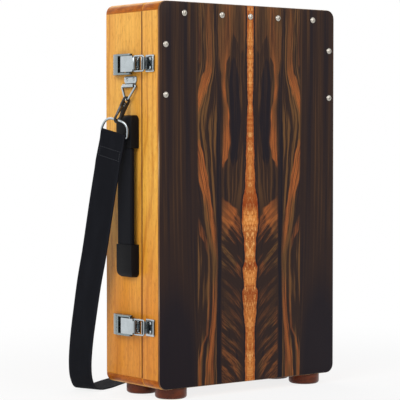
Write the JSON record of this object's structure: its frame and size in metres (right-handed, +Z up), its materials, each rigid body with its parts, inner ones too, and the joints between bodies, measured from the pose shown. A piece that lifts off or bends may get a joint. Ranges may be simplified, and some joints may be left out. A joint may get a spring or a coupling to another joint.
{
  "type": "folding cajon",
  "caption": "Shallow folding box drum on round feet, hinged in two shells with draw latches, a side handle, a sound hole and a clip-on carrying strap.",
  "frame": {"origin": "on the floor under the middle of the case with its fixed hardware", "axes": "+X to the hinge side, +Y to the back panel, +Z up; the tapa faces -Y and the latches are on -X"},
  "size_m": [0.3446, 0.2324, 0.514],
  "materials": {
    "side_wood": "satin lacquer",
    "end_wood": "lacquered end grain",
    "tapa_veneer": "gloss lacquer, book-matched grain",
    "panel_ply": "clear lacquer",
    "batten_wood": "raw",
    "foot_wood": "stained and lacquered",
    "black_plastic": "fine texture",
    "webbing": "woven",
    "snare_steel": "drawn wire",
    "chrome_plate": "polished plate",
    "hinge_steel": "satin",
    "black_metal": "semi gloss"
  },
  "bodies": {
    "rear_shell": {"rear_left_side": "side_wood", "rear_right_side": "side_wood", "rear_top_board": "end_wood", "rear_bottom_board": "end_wood", "back_panel": "panel_ply", "rear_left_foot": "foot_wood", "rear_right_foot": "foot_wood", "handle_upper_cap": "black_plastic", "handle_lower_cap": "black_plastic", "handle_grip": "black_plastic", "upper_hinge_rear_leaf": "hinge_steel", "upper_hinge_pin": "hinge_steel", "upper_latch_base": "chrome_plate", "lower_hinge_rear_leaf": "hinge_steel", "lower_hinge_pin": "hinge_steel", "lower_latch_base": "chrome_plate", "side_strap_clip": "chrome_plate", "side_clip_ring": "chrome_plate", "side_snap_hook": "black_metal", "side_d_ring": "chrome_plate", "rear_strap_clip": "chrome_plate", "rear_clip_ring": "chrome_plate", "rear_snap_hook": "black_metal", "rear_d_ring": "chrome_plate", "shoulder_strap": "webbing"},
    "front_shell": {"front_left_side": "side_wood", "front_right_side": "side_wood", "front_top_rail": "end_wood", "front_bottom_rail": "end_wood", "front_top_batten": "batten_wood", "tapa": "tapa_veneer", "snare_batten": "batten_wood", "left_snare_wires": "snare_steel", "right_snare_wires": "snare_steel", "front_left_foot": "foot_wood", "front_right_foot": "foot_wood", "tapa_screw_1": "chrome_plate", "tapa_screw_2": "chrome_plate", "tapa_screw_3": "chrome_plate", "tapa_screw_4": "chrome_plate", "tapa_screw_5": "chrome_plate", "tapa_screw_6": "chrome_plate", "tapa_screw_7": "chrome_plate", "tapa_screw_8": "chrome_plate", "tapa_screw_9": "chrome_plate", "upper_hinge_front_leaf": "hinge_steel", "lower_hinge_front_leaf": "hinge_steel", "upper_latch_keeper": "chrome_plate", "lower_latch_keeper": "chrome_plate"},
    "upper_latch_lever_body": {"upper_latch_lever": "chrome_plate"},
    "upper_latch_link_body": {"upper_latch_link": "chrome_plate", "upper_latch_loop": "chrome_plate"},
    "lower_latch_lever_body": {"lower_latch_lever": "chrome_plate"},
    "lower_latch_link_body": {"lower_latch_link": "chrome_plate", "lower_latch_loop": "chrome_plate"},
    "side_hook_gate_body": {"side_hook_gate": "chrome_plate"},
    "rear_hook_gate_body": {"rear_hook_gate": "chrome_plate"}
  },
  "joints": [
    {"name": "shell_hinge", "type": "hinge", "parent": "rear_shell", "child": "front_shell", "pos_m": [0.15715, -0.02535, 0.264], "axis": [0, 0, 1], "range_deg": [0, 180]},
    {"name": "upper_lever_pivot", "type": "hinge", "parent": "rear_shell", "child": "upper_latch_lever_body", "pos_m": [-0.15335, -0.00835, 0.434], "axis": [0, 0, 1], "range_deg": [0, 100]},
    {"name": "upper_link_pivot", "type": "hinge", "parent": "upper_latch_lever_body", "child": "upper_latch_link_body", "pos_m": [-0.15135, 0.00065, 0.434], "axis": [0, 0, 1], "range_deg": [-100, 0]},
    {"name": "lower_lever_pivot", "type": "hinge", "parent": "rear_shell", "child": "lower_latch_lever_body", "pos_m": [-0.15335, -0.00835, 0.094], "axis": [0, 0, 1], "range_deg": [0, 100]},
    {"name": "lower_link_pivot", "type": "hinge", "parent": "lower_latch_lever_body", "child": "lower_latch_link_body", "pos_m": [-0.15135, 0.00065, 0.094], "axis": [0, 0, 1], "range_deg": [-100, 0]},
    {"name": "side_gate_pivot", "type": "hinge", "parent": "rear_shell", "child": "side_hook_gate_body", "pos_m": [-0.16291, -0.00185, 0.37817], "axis": [0, -1, 0], "range_deg": [0, 18], "stiffness_Nm_per_rad": 0.002, "springref_deg": -17.19},
    {"name": "rear_gate_pivot", "type": "hinge", "parent": "rear_shell", "child": "rear_hook_gate_body", "pos_m": [0.08865, 0.07322, 0.09767], "axis": [-1, 0, 0], "range_deg": [0, 18], "stiffness_Nm_per_rad": 0.002, "springref_deg": -17.19}
  ],
  "couplings": [
    {"joint": "upper_link_pivot", "follows": "upper_lever_pivot", "ratio": -1},
    {"joint": "lower_link_pivot", "follows": "lower_lever_pivot", "ratio": -1}
  ]
}
